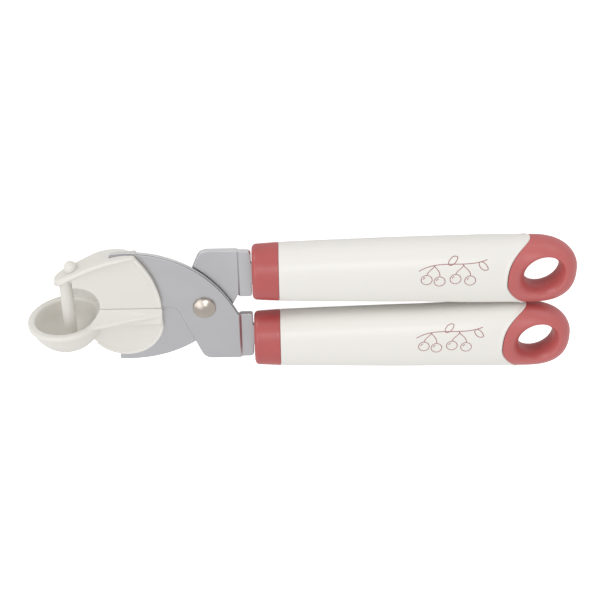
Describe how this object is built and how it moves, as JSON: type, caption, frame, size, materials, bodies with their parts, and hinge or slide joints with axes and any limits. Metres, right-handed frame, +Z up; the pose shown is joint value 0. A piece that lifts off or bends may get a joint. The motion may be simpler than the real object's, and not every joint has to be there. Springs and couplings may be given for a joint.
{
  "type": "cherry and olive pitter",
  "caption": "Plier-type cherry and olive pitter with two grip handles, crossing steel arms on a rivet, and plastic jaws with a plunger and a round cup.",
  "frame": {"origin": "under the middle of the tool's bounding box, on the surface that it lies on, in the closed pose", "axes": "+X along the length, from the cup towards the handles; +Y across, towards the upper handle; +Z up through the thickness, towards the front arm"},
  "size_m": [0.199, 0.0554, 0.0282],
  "materials": {
    "arm_steel": "satin stamped stainless steel",
    "rivet_metal": "warm satin nickel",
    "jaw_plastic": "moulded off-white plastic",
    "cream_plastic": "smooth cream moulding",
    "soft_rose": "soft-touch rose rubber",
    "core_plastic": "plain moulded plastic",
    "pin_steel": "plain steel pin"
  },
  "bodies": {
    "rear_half": {"rear_arm": "arm_steel", "pivot_rivet": "rivet_metal", "rivet_washer": "rivet_metal", "lower_jaw": "jaw_plastic", "lower_jaw_pin_1": "pin_steel", "lower_jaw_pin_2": "pin_steel", "upper_handle_core": "core_plastic", "upper_handle_shell": "cream_plastic", "upper_collar": "soft_rose", "upper_hanging_loop": "soft_rose", "upper_tang_pin_1": "pin_steel", "upper_tang_pin_2": "pin_steel"},
    "front_half": {"front_arm": "arm_steel", "upper_jaw": "jaw_plastic", "plunger": "jaw_plastic", "upper_jaw_pin_1": "pin_steel", "upper_jaw_pin_2": "pin_steel", "lower_handle_core": "core_plastic", "lower_handle_shell": "cream_plastic", "lower_collar": "soft_rose", "lower_hanging_loop": "soft_rose", "lower_tang_pin_1": "pin_steel", "lower_tang_pin_2": "pin_steel"}
  },
  "joints": [
    {"name": "squeeze_pivot", "type": "hinge", "parent": "rear_half", "child": "front_half", "pos_m": [-0.0346, 0.001, 0.0141], "axis": [0, 0, -1], "range_deg": [0, 32]}
  ]
}
